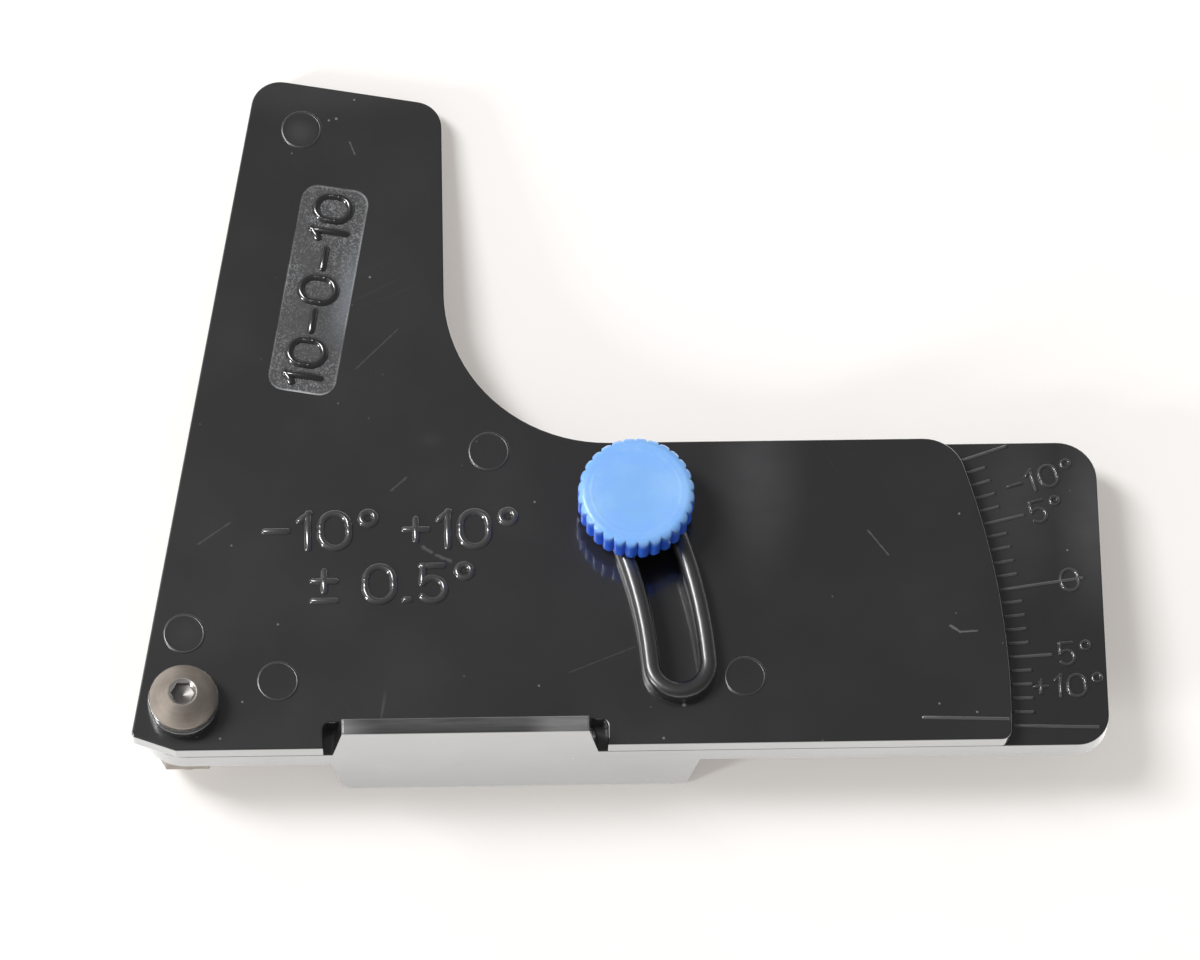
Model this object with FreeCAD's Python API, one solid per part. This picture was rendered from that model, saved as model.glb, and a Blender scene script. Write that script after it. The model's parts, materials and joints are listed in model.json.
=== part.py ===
import FreeCAD
import Part
import math
import os

# A camber gauge: an L-shaped arm turns on a base plate that stands on its foot. The arm's long edge is
# laid against a wheel, and its index line shows the wheel's lean on the base plate's degree scale.
#
# Every piece is first made in the plates' own frame, in millimetres: the pivot is the Z axis, X runs along
# the foot, Y up the arm, and Z = 0 is the front face of the base plate. lay_down() then rests the whole
# gauge on its back, on the foot's rear edge and the arm's tip, with the floor at Z = 0.

vector = FreeCAD.Vector
up = vector(0, 0, 1)

# Plates
pivot_height = 5.6  # from the standing face up to the pivot
base_thickness = 3.4
base_height = 38.2
base_top_radius = 4.8
base_bottom_radius = 3.8
base_left_radius = 3.5
base_inset = 0.1  # the base plate's left end stays this far behind the arm's wheel edge
arm_thickness = 2.4
arm_top_inset = 0.2  # the arm's lower limb is this much lower than the base plate
arm_radius = 97.1  # the arm's scale end, an arc about the pivot
arm_reach = 80.9  # pivot to tip, along the wheel edge
arm_edge_distance = 5.5  # pivot to the wheel edge, square to it
upright_right = 31.1  # pivot to the inner side of the upright limb
arm_tip_radius = 3.5
arm_crook_radius = 19.4
arm_end_radius = 5.0
arm_heel_radius = 0.6
arm_toe_radius = 1.2
edge_round = 0.2
swing_gap = 0.05  # running gap between the two plates

# Swing and scale
swing_range = 20.0
scale_zero_angle = 8.15
degrees_per_tick = 1
ticks_each_side = 10
tick_start_gap = 0.3  # from the arm's end arc to the ticks
tick_short = 2.6
tick_middle = 5.2
tick_long = 10.3
scale_strip = 11.7  # width of base plate beyond the arm's end arc
index_length = 10.4
mark_width = 0.4
mark_top_width = 0.14
mark_height = 0.2

# Figures
figure_height = 2.7
five_offset = 8.1  # from the arm's end arc to the figure's centre
zero_offset = 8.9
minus_ten_offset = 8.6
plus_ten_offset = 7.0
ten_shift = 7.2  # degrees each side of zero
letter_height = 4.4
letter_width = 0.65
letter_top_width = 0.25
letter_relief = 0.3
first_row = (24.3, 21.6)
second_row = (24.5, 14.8)
figure_gap = 0.3  # between figures, as a part of their height

# Foot
lip_left = 17.3
lip_length = 31.2
lip_thickness = 1.95
lip_height = 7.5
lip_round = 0.25
flange_left = 17.05
flange_length = 43.5
flange_thickness = 2.1
flange_depth = 12.4  # behind the base plate's front face
flange_corner_radius = 1.5
foot_end_slope = 9.0
notch_side_gap = 1.1
notch_top_gap = 1.25
notch_radius = 0.9

# Curved slot, its rim and the pivot boss
clamp_radius = 58.35
clamp_angle = 23.75
slot_clearance = 0.27  # between the clamp screw and the slot's walls
rim_width = 2.05
rim_height = 2.3
rim_round = 0.8
boss_radius = 4.2
boss_height = 2.0
boss_round = 0.3

# Screws, washers and nut
thread_diameter = 4.17
hole_clearance = 0.06
thread_clearance = 0.03
screw_end_chamfer = 0.4
button_diameter = 7.9
button_height = 2.2
button_edge = 0.35
button_flat_radius = 1.75
socket_across_flats = 2.38
socket_depth = 1.3
socket_mouth = 0.25
washer_diameter = 8.1
washer_thickness = 0.6
washer_gap = 0.05
nut_across_flats = 8.73
nut_hex_height = 4.1
nut_collar_height = 1.6
nut_collar_radius = 3.9
nut_wall = 0.5
ring_height = 1.3
pivot_screw_length = 15.9
hexagon_across_flats = 6.35
hexagon_height = 2.8
pocket_clearance = 0.05
pocket_depth = 3.0
pocket_boss_wall = 2.2
pocket_boss_height = 2.2
clamp_screw_length = 11.1

# Clamp washer, knob and insert
clamp_washer_diameter = 9.5
clamp_washer_thickness = 0.8
clamp_washer_recess = 0.6
recess_clearance = 0.1
turn_gap = 0.02
knob_radius = 6.9
knob_height = 4.4
knob_flutes = 28
flute_depth = 0.55
knob_round = 0.9
knob_skirt_round = 0.3
insert_diameter = 6.3
insert_length = 3.1

# Marks of the mould on the arm
ejector_diameter = 4.7
ejector_height = 0.08
ejector_round = 0.06
ejector_places = ((14.1, 73.6), (0.0, 8.9), (36.2, 31.4), (11.0, 2.8), (65.9, 2.6))
panel_centre = (16.0, 52.6)
panel_length = 27.0
panel_width = 8.2
panel_radius = 2.0
panel_depth = 0.12

# Worked out from the sizes above
half_swing = swing_range / 2
wheel_edge_angle = 90 - half_swing
base_top = base_height - pivot_height
arm_top = base_top - arm_top_inset
base_back = -base_thickness
arm_back = swing_gap
arm_face = arm_back + arm_thickness
boss_top = arm_face + boss_height
rim_top = arm_face + rim_height
thread_radius = thread_diameter / 2
hole_radius = thread_radius + hole_clearance
slot_half_width = thread_radius + slot_clearance
rim_half_width = slot_half_width + rim_width
scale_inner = arm_radius + tick_start_gap
plus_end_angle = scale_zero_angle - half_swing
pivot_washer_bottom = boss_top + washer_gap
head_seat = pivot_washer_bottom + washer_thickness
nut_seat = base_back - washer_thickness
nut_hex_end = nut_seat - nut_hex_height
nut_end = nut_hex_end - nut_collar_height
pocket_mouth = base_back - pocket_boss_height
clamp_seat = pocket_mouth + pocket_depth
clamp_washer_bottom = rim_top + washer_gap
clamp_washer_top = clamp_washer_bottom + clamp_washer_thickness
knob_bottom = clamp_washer_top - clamp_washer_recess
knob_top = knob_bottom + knob_height
insert_bottom = clamp_washer_top + turn_gap


def polar(radius, angle, z=0):
    turn = math.radians(angle)
    return vector(radius * math.cos(turn), radius * math.sin(turn), z)


clamp_centre = polar(clamp_radius, clamp_angle)


def meeting_point(first, second):
    # Each edge is (outward direction in degrees, distance from the pivot, radius of its end corner).
    a, b = math.radians(first[0]), math.radians(second[0])
    across = math.sin(b - a)
    x = (first[1] * math.sin(b) - second[1] * math.sin(a)) / across
    y = (second[1] * math.cos(a) - first[1] * math.cos(b)) / across
    return vector(x, y, 0)


def closed_face(edges):
    # A flat face bounded by straight edges in turn, with a tangent arc at each rounded corner.
    count = len(edges)
    corners = [meeting_point(edges[i], edges[(i + 1) % count]) for i in range(count)]
    pieces = []
    ends = []
    for i, corner in enumerate(corners):
        radius = edges[i][2]
        if radius == 0:
            ends.append((corner, corner))
            continue
        back = (corners[i - 1] - corner).normalize()
        ahead = (corners[(i + 1) % count] - corner).normalize()
        half_angle = back.getAngle(ahead) / 2
        start = corner + back * (radius / math.tan(half_angle))
        end = corner + ahead * (radius / math.tan(half_angle))
        inward = (back + ahead).normalize()
        middle = corner + inward * (radius / math.sin(half_angle) - radius)
        pieces.append(Part.Arc(start, middle, end).toShape())
        ends.append((start, end))
    for i in range(count):
        leave, arrive = ends[i - 1][1], ends[i][0]
        if leave.distanceToPoint(arrive) > 1e-6:
            pieces.append(Part.makeLine(leave, arrive))
    return Part.Face(Part.Wire(Part.__sortEdges__(pieces)))


def prism(face, bottom, top):
    solid = face.extrude(up * (top - bottom))
    solid.translate(up * bottom)
    return solid


def cylinder(radius, bottom, top, centre=vector(0, 0, 0)):
    return Part.makeCylinder(radius, top - bottom, centre + up * bottom)


def ring(outer, inner, bottom, top, centre=vector(0, 0, 0)):
    return cylinder(outer, bottom, top, centre).cut(cylinder(inner, bottom, top, centre))


def hexagon(across_flats, bottom, top, centre=vector(0, 0, 0)):
    corner_radius = across_flats / math.sqrt(3)
    corners = [centre + polar(corner_radius, 60 * i) for i in range(7)]
    return prism(Part.Face(Part.makePolygon(corners)), bottom, top)


def lathe(steps, centre=vector(0, 0, 0)):
    # Each step of the closed profile is a line (start, end) or an arc (start, middle, end), its points given
    # as (radius, z).
    pieces = []
    for step in steps:
        points = [vector(radius, 0, z) for radius, z in step]
        if len(points) == 3:
            pieces.append(Part.Arc(*points).toShape())
        else:
            pieces.append(Part.makeLine(*points))
    solid = Part.Face(Part.Wire(pieces)).revolve(vector(0, 0, 0), up, 360)
    solid.translate(centre)
    return solid


def screw_shank(root, tip, centre=vector(0, 0, 0)):
    # A plain shank from its head at height root to its chamfered end at height tip, above or below.
    along = up if tip > root else -up
    plain = abs(tip - root) - screw_end_chamfer
    shank = Part.makeCylinder(thread_radius, plain, centre + up * root, along)
    end = Part.makeCone(thread_radius, thread_radius - screw_end_chamfer, screw_end_chamfer,
                        centre + up * root + along * plain, along)
    return shank.fuse(end).removeSplitter()


def arc_slot(half_width, bottom, top):
    # A curved bar about the pivot with round ends, from the clamp's place back by the swing.
    low, high = clamp_angle - swing_range, clamp_angle
    outer, inner = clamp_radius + half_width, clamp_radius - half_width
    middle = (low + high) / 2
    far_end = clamp_centre + polar(half_width, high + 90)
    near_end = polar(clamp_radius, low) + polar(half_width, low - 90)
    pieces = [
        Part.Arc(polar(outer, low), polar(outer, middle), polar(outer, high)).toShape(),
        Part.Arc(polar(outer, high), far_end, polar(inner, high)).toShape(),
        Part.Arc(polar(inner, high), polar(inner, middle), polar(inner, low)).toShape(),
        Part.Arc(polar(inner, low), near_end, polar(outer, low)).toShape(),
    ]
    return prism(Part.Face(Part.Wire(pieces)), bottom, top)


def edges_at(solid, z):
    return [e for e in solid.Edges if max(abs(v.Z - z) for v in e.Vertexes) < 1e-4]


# Raised marks: ridges with sloping flanks, straight or curved, on a face at height z


def ridge_section(width, top_width, relief, origin, along, z):
    # A trapezium square to the direction along, standing on the face and rooted a little under it.
    side = up.cross(along)
    root = vector(origin.x, origin.y, z - relief)
    low, high = width / 2, top_width / 2
    face_level, crest = up * relief, up * (2 * relief)
    points = [root + side * low, root + face_level + side * low, root + crest + side * high,
              root + crest - side * high, root + face_level - side * low, root - side * low]
    return Part.Face(Part.makePolygon(points + points[:1]))


def straight_ridge(start, end, width, top_width, relief, z):
    along = (end - start).normalize()
    return ridge_section(width, top_width, relief, start, along, z).extrude(end - start)


def curved_ridge(centre, radius, start_angle, end_angle, width, top_width, relief, z):
    start = centre + polar(radius, start_angle)
    along = polar(1, start_angle + 90)
    section = ridge_section(width, top_width, relief, start, along, z)
    return section.revolve(centre, up, end_angle - start_angle)


# Figures drawn with strokes in a cell one unit high: a line is (x, y, x, y), an arc is (centre x, centre y,
# radius, start angle, end angle).
figure_strokes = {
    "0": (0.76, [(0, 0.38, 0, 0.62), (0.76, 0.38, 0.76, 0.62), (0.38, 0.38, 0.38, 180, 360),
                 (0.38, 0.62, 0.38, 0, 180)]),
    "1": (0.3, [(0.26, 0, 0.26, 1), (0.3, 1, 0.02, 0.78)]),
    "5": (0.68, [(0.05, 1, 0.62, 1), (0.1, 1, 0.07, 0.5), (0.34, 0.33, 0.33, -145, 145)]),
    "o": (0.4, [(0.22, 0.86, 0.17, 0, 360)]),
    "+": (0.6, [(0, 0.5, 0.6, 0.5), (0.3, 0.2, 0.3, 0.8)]),
    "-": (0.6, [(0, 0.5, 0.6, 0.5)]),
    "~": (0.6, [(0, 0.6, 0.6, 0.6), (0.3, 0.32, 0.3, 0.88), (0, 0.04, 0.6, 0.04)]),
    ".": (0.1, [(0, 0.04, 0.12, 0.04)]),
    " ": (0.2, []),
}


def figures(text, centre, tilt, height, width, top_width, relief, z):
    # Raised figures whose middle is at centre, with their base line turned by tilt.
    length = sum(figure_strokes[c][0] for c in text) + figure_gap * (len(text) - 1)
    right, upward = polar(1, tilt), polar(1, tilt + 90)
    pen = centre - right * (length * height / 2) - upward * (height / 2)
    ridges = []
    for character in text:
        advance, strokes = figure_strokes[character]
        for stroke in strokes:
            first = pen + right * (stroke[0] * height) + upward * (stroke[1] * height)
            if len(stroke) == 4:
                last = pen + right * (stroke[2] * height) + upward * (stroke[3] * height)
                ridges.append(straight_ridge(first, last, width, top_width, relief, z))
            else:
                ridges.append(curved_ridge(first, stroke[2] * height, stroke[3] + tilt, stroke[4] + tilt,
                                           width, top_width, relief, z))
        pen = pen + right * ((advance + figure_gap) * height)
    return ridges


def scale_marks():
    marks = []
    for tick in range(-ticks_each_side, ticks_each_side + 1):
        angle = scale_zero_angle - tick * degrees_per_tick
        length = tick_short
        if tick % 5 == 0:
            length = tick_middle
        if tick % 10 == 0:
            length = tick_long
        edge_limit = (base_top - mark_width) / math.sin(math.radians(angle)) if angle > 0 else 2 * arm_radius
        outer = min(scale_inner + length, edge_limit)
        marks.append(straight_ridge(polar(scale_inner, angle), polar(outer, angle),
                                    mark_width, mark_top_width, mark_height, 0))
    labels = ((0, "0", zero_offset), (5, "5o", five_offset), (-5, "5o", five_offset),
              (ten_shift, "-10o", minus_ten_offset), (-ten_shift, "+10o", plus_ten_offset))
    for turn, text, offset in labels:
        angle = scale_zero_angle + turn
        marks += figures(text, polar(arm_radius + offset, angle), angle, figure_height,
                         mark_width, mark_top_width, mark_height, 0)
    return marks


def foot_block(left, length, thickness, top, bottom, corner_radius):
    # A block along the standing face whose ends slope inwards from top to bottom of the given heights.
    depth = abs(top - bottom)
    inset = depth * math.tan(math.radians(foot_end_slope))
    right = left + length
    standing = -pivot_height
    corners = [vector(left, standing, top), vector(right, standing, top),
               vector(right - inset, standing, bottom), vector(left + inset, standing, bottom)]
    block = Part.Face(Part.makePolygon(corners + corners[:1])).extrude(vector(0, thickness, 0))
    if corner_radius:
        rounded = [e for e in block.Edges if e.BoundBox.XMax < left + length / 2
                   and abs(e.BoundBox.ZMin - bottom) < 1e-4 and e.BoundBox.ZLength < 1e-4
                   and e.BoundBox.XLength < 1e-4]
        block = block.makeFillet(corner_radius, rounded)
    return block


def base_plate():
    left_distance = arm_edge_distance - base_inset
    edges = [(-90, pivot_height, base_bottom_radius), (0, arm_radius + scale_strip, base_top_radius),
             (90, base_top, base_left_radius), (wheel_edge_angle + 90, left_distance, left_distance)]
    plate = prism(closed_face(edges), base_back, 0)
    plate = plate.makeFillet(edge_round, edges_at(plate, 0))
    lip = foot_block(lip_left, lip_length, lip_thickness, -edge_round, lip_height, 0)
    lip = lip.makeFillet(lip_round, edges_at(lip, lip_height))
    flange = foot_block(flange_left, flange_length, flange_thickness, base_back, -flange_depth,
                        flange_corner_radius)
    boss_radius_behind = hexagon_across_flats / math.sqrt(3) + pocket_boss_wall
    boss = cylinder(boss_radius_behind, pocket_mouth, base_back, clamp_centre)
    pocket = hexagon(hexagon_across_flats + 2 * pocket_clearance, pocket_mouth, clamp_seat, clamp_centre)
    screw_hole = cylinder(hole_radius, clamp_seat, 0, clamp_centre)
    pivot_hole = cylinder(hole_radius, base_back, 0)
    plate = plate.fuse([lip, flange, boss]).removeSplitter().cut([pocket, screw_hole, pivot_hole])
    return plate.fuse(scale_marks()).removeSplitter()


def arm_outline():
    bottom = (-90, pivot_height)
    notch_left = lip_left - notch_side_gap
    notch_right = lip_left + lip_length + notch_side_gap
    notch_top = pivot_height - lip_thickness - notch_top_gap
    return closed_face([
        (wheel_edge_angle + 90, arm_edge_distance, arm_heel_radius),
        (-90 - swing_range, pivot_height, 0),
        (*bottom, 0),
        (0, notch_left, notch_radius),
        (-90, notch_top, notch_radius),
        (180, -notch_right, 0),
        (*bottom, 0),
        (0, arm_radius + arm_thickness, 0),
        (90, arm_top, arm_crook_radius),
        (0, upright_right, arm_tip_radius),
        (wheel_edge_angle, arm_reach, arm_tip_radius),
    ])


def arm_blank():
    # The flat arm, its scale end cut to an arc about the pivot and its two end corners rounded.
    blank = prism(arm_outline(), arm_back, arm_face).common(cylinder(arm_radius, arm_back, arm_face))
    for radius, height in ((arm_end_radius, arm_top), (arm_toe_radius, -pivot_height)):
        corner_x = math.sqrt(arm_radius ** 2 - height ** 2)
        corner_middle = vector(corner_x, height, (arm_back + arm_face) / 2)
        corner = [e for e in blank.Edges if e.Length < arm_thickness * 1.01
                  and e.CenterOfMass.distanceToPoint(corner_middle) < 0.1]
        blank = blank.makeFillet(radius, corner)
    return blank.makeFillet(edge_round, edges_at(blank, arm_face))


def slot_rim():
    rim = arc_slot(rim_half_width, arm_face - edge_round, rim_top).cut(
        arc_slot(slot_half_width, arm_face - edge_round, rim_top))
    return rim.makeFillet(rim_round, edges_at(rim, rim_top))


def pivot_boss():
    boss = cylinder(boss_radius, arm_face - edge_round, boss_top)
    return boss.makeFillet(boss_round, edges_at(boss, boss_top))


def label_panel():
    # A shallow recess with round corners, its long side parallel to the wheel edge.
    panel = Part.makeBox(panel_length, panel_width, panel_depth,
                         vector(-panel_length / 2, -panel_width / 2, arm_face - panel_depth))
    panel = panel.makeFillet(panel_radius, [e for e in panel.Edges if e.Length < 2 * panel_depth])
    panel.rotate(vector(0, 0, 0), up, wheel_edge_angle)
    panel.translate(vector(*panel_centre, 0))
    return panel


def ejector_mark(x, y):
    # A round pad, barely raised, where a pin of the mould pushed the arm out.
    pad = cylinder(ejector_diameter / 2, arm_face - edge_round, arm_face + ejector_height, vector(x, y, 0))
    return pad.makeFillet(ejector_round, edges_at(pad, arm_face + ejector_height))


def swing_arm():
    index_end = arm_radius - edge_round
    marks = [straight_ridge(polar(arm_radius - index_length, plus_end_angle),
                            polar(index_end, plus_end_angle),
                            mark_width, mark_top_width, mark_height, arm_face)]
    for text, place in (("-10o +10o", first_row), ("~ 0.5o", second_row)):
        marks += figures(text, vector(*place, 0), 0, letter_height,
                         letter_width, letter_top_width, letter_relief, arm_face)
    marks += [ejector_mark(x, y) for x, y in ejector_places]
    cuts = [arc_slot(slot_half_width, arm_back, arm_face), label_panel()]
    arm = arm_blank().cut(cuts).fuse([slot_rim(), pivot_boss()] + marks).removeSplitter()
    return arm.cut(cylinder(hole_radius, arm_back, boss_top))


# Pivot: screw, washers and self-locking nut, all fixed to the base plate


def button_head(seat):
    radius = button_diameter / 2
    crown = button_height
    centre_z = ((button_flat_radius ** 2 + crown ** 2 - radius ** 2 - button_edge ** 2)
                / (2 * (crown - button_edge)))
    dome = math.hypot(button_flat_radius, crown - centre_z)
    slope = (math.atan2(button_edge - centre_z, radius)
             + math.atan2(crown - centre_z, button_flat_radius)) / 2
    dome_middle = (dome * math.cos(slope), centre_z + dome * math.sin(slope))
    head = lathe([((0, 0), (radius, 0)), ((radius, 0), (radius, button_edge)),
                  ((radius, button_edge), dome_middle, (button_flat_radius, crown)),
                  ((button_flat_radius, crown), (0, crown)), ((0, crown), (0, 0))], up * seat)
    top = seat + crown
    mouth_radius = socket_across_flats / math.sqrt(3) + socket_mouth
    mouth = Part.makeCone(mouth_radius - 2 * socket_mouth, mouth_radius, 2 * socket_mouth,
                          up * (top - 2 * socket_mouth))
    return head.cut([hexagon(socket_across_flats, top - socket_depth, top), mouth])


def pivot_screw():
    shank = screw_shank(head_seat, head_seat - pivot_screw_length)
    return button_head(head_seat).fuse(shank).removeSplitter()


def pivot_nut():
    corner = nut_across_flats / math.sqrt(3)
    hexagon_part = hexagon(nut_across_flats, nut_hex_end, nut_seat)
    chamfer = corner - nut_across_flats / 2
    envelope = Part.makeCone(corner, nut_across_flats / 2, chamfer, up * (nut_seat - chamfer)).fuse(
        cylinder(corner, nut_hex_end, nut_seat - chamfer))
    collar = cylinder(nut_collar_radius, nut_end, nut_hex_end)
    body = hexagon_part.common(envelope).fuse(collar).removeSplitter()
    bore = cylinder(thread_radius + thread_clearance, nut_end, nut_seat)
    ring_seat = cylinder(nut_collar_radius - nut_wall, nut_end, nut_end + ring_height)
    return body.cut([bore, ring_seat])


def nut_ring():
    return ring(nut_collar_radius - nut_wall, thread_radius + thread_clearance,
                nut_end, nut_end + ring_height)


# Clamp: a captive screw, a washer on the slot's rim, and the knob with its insert


def clamp_screw():
    corner = hexagon_across_flats / math.sqrt(3)
    chamfer = corner - hexagon_across_flats / 2
    head_end = clamp_seat - hexagon_height
    envelope = Part.makeCone(hexagon_across_flats / 2, corner, chamfer, clamp_centre + up * head_end).fuse(
        cylinder(corner, head_end + chamfer, clamp_seat, clamp_centre))
    head = hexagon(hexagon_across_flats, head_end, clamp_seat, clamp_centre).common(envelope)
    return head.fuse(screw_shank(clamp_seat, clamp_seat + clamp_screw_length, clamp_centre)).removeSplitter()


def fluted_prism():
    valley_radius = knob_radius - flute_depth
    pitch = 360 / knob_flutes
    lobes = [Part.Arc(polar(valley_radius, pitch * i), polar(knob_radius, pitch * (i + 0.5)),
                      polar(valley_radius, pitch * (i + 1))).toShape() for i in range(knob_flutes)]
    solid = prism(Part.Face(Part.Wire(lobes)), knob_bottom, knob_top)
    solid.translate(clamp_centre)
    return solid


def arc_middle(centre, radius, turn):
    slope = math.radians(turn)
    return (centre[0] + radius * math.cos(slope), centre[1] + radius * math.sin(slope))


def rounded_disc():
    # The knob's outer envelope: a disc with a small round below and a large one above.
    low_centre = (knob_radius - knob_skirt_round, knob_bottom + knob_skirt_round)
    high_centre = (knob_radius - knob_round, knob_top - knob_round)
    low_start, low_end = (low_centre[0], knob_bottom), (knob_radius, low_centre[1])
    high_start, high_end = (knob_radius, high_centre[1]), (high_centre[0], knob_top)
    return lathe([
        ((0, knob_bottom), low_start),
        (low_start, arc_middle(low_centre, knob_skirt_round, -45), low_end),
        (low_end, high_start),
        (high_start, arc_middle(high_centre, knob_round, 45), high_end),
        (high_end, (0, knob_top)),
        ((0, knob_top), (0, knob_bottom)),
    ], clamp_centre)


def clamp_knob():
    recess_radius = clamp_washer_diameter / 2 + recess_clearance
    recess = cylinder(recess_radius, knob_bottom, insert_bottom, clamp_centre)
    socket = cylinder(insert_diameter / 2, knob_bottom, insert_bottom + insert_length, clamp_centre)
    return fluted_prism().common(rounded_disc()).cut([recess, socket])


def knob_insert():
    return ring(insert_diameter / 2, hole_radius, insert_bottom, insert_bottom + insert_length, clamp_centre)


def washer(diameter, thickness, bottom, centre=vector(0, 0, 0)):
    return ring(diameter / 2, hole_radius, bottom, bottom + thickness, centre)


pieces = {
    "base_plate": base_plate(),
    "swing_arm": swing_arm(),
    "pivot_screw": pivot_screw(),
    "pivot_washer": washer(washer_diameter, washer_thickness, pivot_washer_bottom),
    "pivot_back_washer": washer(washer_diameter, washer_thickness, nut_seat),
    "pivot_nut": pivot_nut(),
    "nut_ring": nut_ring(),
    "clamp_screw": clamp_screw(),
    "clamp_washer": washer(clamp_washer_diameter, clamp_washer_thickness, clamp_washer_bottom, clamp_centre),
    "clamp_knob": clamp_knob(),
    "knob_insert": knob_insert(),
}

# The gauge rests on the inner rear edge of the flange and on the rounded outer corner of the arm's tip.
tip_y = ((arm_reach - arm_tip_radius) * math.sin(math.radians(wheel_edge_angle))
         + (arm_edge_distance - arm_tip_radius) * math.cos(math.radians(wheel_edge_angle)) + arm_tip_radius)
lean = math.degrees(math.atan2(flange_depth + arm_back, tip_y + pivot_height - flange_thickness))


def lay_down():
    # Turns the pieces back by the lean, then centres their box on the origin with its underside at Z = 0.
    turned = Part.makeCompound(list(pieces.values()))
    turned.rotate(vector(0, 0, 0), vector(1, 0, 0), -lean)
    box = turned.optimalBoundingBox(False, False)
    shift = vector(-(box.XMin + box.XMax) / 2, -(box.YMin + box.YMax) / 2, -box.ZMin)
    return FreeCAD.Placement(shift, FreeCAD.Rotation(vector(1, 0, 0), -lean))


resting = lay_down()
os.makedirs("parts", exist_ok=True)
for name, solid in pieces.items():
    solid.Placement = resting.multiply(solid.Placement)
    solid.exportStep("parts/" + name + ".step")
    print(name, "volume", round(solid.Volume, 2), "valid", solid.isValid(), "solids", len(solid.Solids))
print("lean", round(lean, 4), "placement", resting)
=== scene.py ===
import json
import math

import bmesh
import bpy
from mathutils import Matrix, Vector


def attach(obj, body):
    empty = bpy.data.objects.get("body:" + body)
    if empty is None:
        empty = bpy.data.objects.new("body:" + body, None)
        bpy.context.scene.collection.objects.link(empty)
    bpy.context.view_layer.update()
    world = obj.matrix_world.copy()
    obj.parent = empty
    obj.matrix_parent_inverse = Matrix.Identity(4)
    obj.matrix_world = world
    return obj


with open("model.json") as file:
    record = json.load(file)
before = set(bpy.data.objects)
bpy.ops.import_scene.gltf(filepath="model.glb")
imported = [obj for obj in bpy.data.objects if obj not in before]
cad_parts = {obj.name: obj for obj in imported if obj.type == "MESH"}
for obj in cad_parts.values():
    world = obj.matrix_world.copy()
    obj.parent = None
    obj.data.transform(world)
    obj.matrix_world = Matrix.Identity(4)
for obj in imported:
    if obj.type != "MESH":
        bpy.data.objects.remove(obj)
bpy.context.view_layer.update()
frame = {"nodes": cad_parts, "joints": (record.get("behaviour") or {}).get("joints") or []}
nodes = frame["nodes"]
mm = 0.001

# The plates have a frame of their own, in millimetres: Z is the pivot's axis, X runs along the foot and
# Y up the arm, and Z = 0 is the front face of the base plate.
joints = {joint["name"]: joint for joint in frame["joints"]}
plateUp = Vector(joints["arm_swing"]["axis"]).normalized()
plateRight = Vector((1, 0, 0))
plateTurn = Matrix((plateRight, plateUp.cross(plateRight), plateUp)).transposed()
pivotSpot = Vector(joints["arm_swing"]["pos_m"])
plateSpace = Matrix.Translation(pivotSpot) @ plateTurn.to_4x4() @ Matrix.Scale(mm, 4)
clampSpot = Vector(joints["knob_turn"]["pos_m"])


def polar(radius, degrees, height=0.0):
    turn = math.radians(degrees)
    return Vector((radius * math.cos(turn), radius * math.sin(turn), height))


# Shader building. Settings hold noise as (scale, detail, roughness) and a range as (from, to) or as
# (from, to, new from, new to).


def addNode(tree, kind, sockets=None, **settings):
    # Sockets are given by name or number, as a value or as another node's output.
    node = tree.nodes.new(kind)
    for name, value in settings.items():
        setattr(node, name, value)
    for name, value in (sockets or {}).items():
        if isinstance(value, bpy.types.NodeSocket):
            tree.links.new(value, node.inputs[name])
        else:
            node.inputs[name].default_value = value
    return node


def combine(tree, operation, *values, clamp=False):
    # Joins the values one after another. A lone value is the operation's only input.
    result = values[0]
    for value in values[1:] or (0.0,):
        sockets = {0: result, 1: value}
        result = addNode(tree, "ShaderNodeMath", sockets, operation=operation, use_clamp=clamp).outputs[0]
    return result


def combineVectors(tree, operation, first, second=(0, 0, 0)):
    node = addNode(tree, "ShaderNodeVectorMath", {0: first, 1: second}, operation=operation)
    return node.outputs["Value" if operation in ("DISTANCE", "DOT_PRODUCT", "LENGTH") else "Vector"]


def remap(tree, value, low, high, newLow=0.0, newHigh=1.0, smooth=False):
    sockets = {"Value": value, "From Min": low, "From Max": high, "To Min": newLow, "To Max": newHigh}
    kind = "SMOOTHSTEP" if smooth else "LINEAR"
    return addNode(tree, "ShaderNodeMapRange", sockets, interpolation_type=kind).outputs["Result"]


def noise(tree, spot, scale, detail=2.0, roughness=0.5):
    sockets = {"Vector": spot, "Scale": scale, "Detail": detail, "Roughness": roughness}
    return addNode(tree, "ShaderNodeTexNoise", sockets).outputs["Fac"]


def blend(tree, share, first, second):
    sockets = {0: share, 6: first, 7: second}
    return addNode(tree, "ShaderNodeMix", sockets, data_type="RGBA").outputs[2]


def axes(tree, spot):
    return addNode(tree, "ShaderNodeSeparateXYZ", {0: spot}).outputs


def fromAxis(tree, parts):
    # The distance from the Z axis.
    flat = addNode(tree, "ShaderNodeCombineXYZ", {0: parts[0], 1: parts[1]}).outputs[0]
    return combineVectors(tree, "LENGTH", flat)


def startGroup(name, inputs, outputs):
    # Inputs come with their first value, or None for a vector. An output called Normal is a vector.
    group = bpy.data.node_groups.new(name, "ShaderNodeTree")
    for label, value in inputs.items():
        kind = "NodeSocketVector" if value is None else "NodeSocketFloat"
        socket = group.interface.new_socket(label, in_out="INPUT", socket_type=kind)
        if value is not None:
            socket.default_value = value
    for label in outputs:
        kind = "NodeSocketVector" if label == "Normal" else "NodeSocketFloat"
        group.interface.new_socket(label, in_out="OUTPUT", socket_type=kind)
    return group, group.nodes.new("NodeGroupInput").outputs, group.nodes.new("NodeGroupOutput").inputs


def giveOut(group, result, **values):
    for name, value in values.items():
        group.links.new(value, result[name])


def useGroup(tree, group, sockets):
    return addNode(tree, "ShaderNodeGroup", sockets, node_tree=group).outputs


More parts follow.
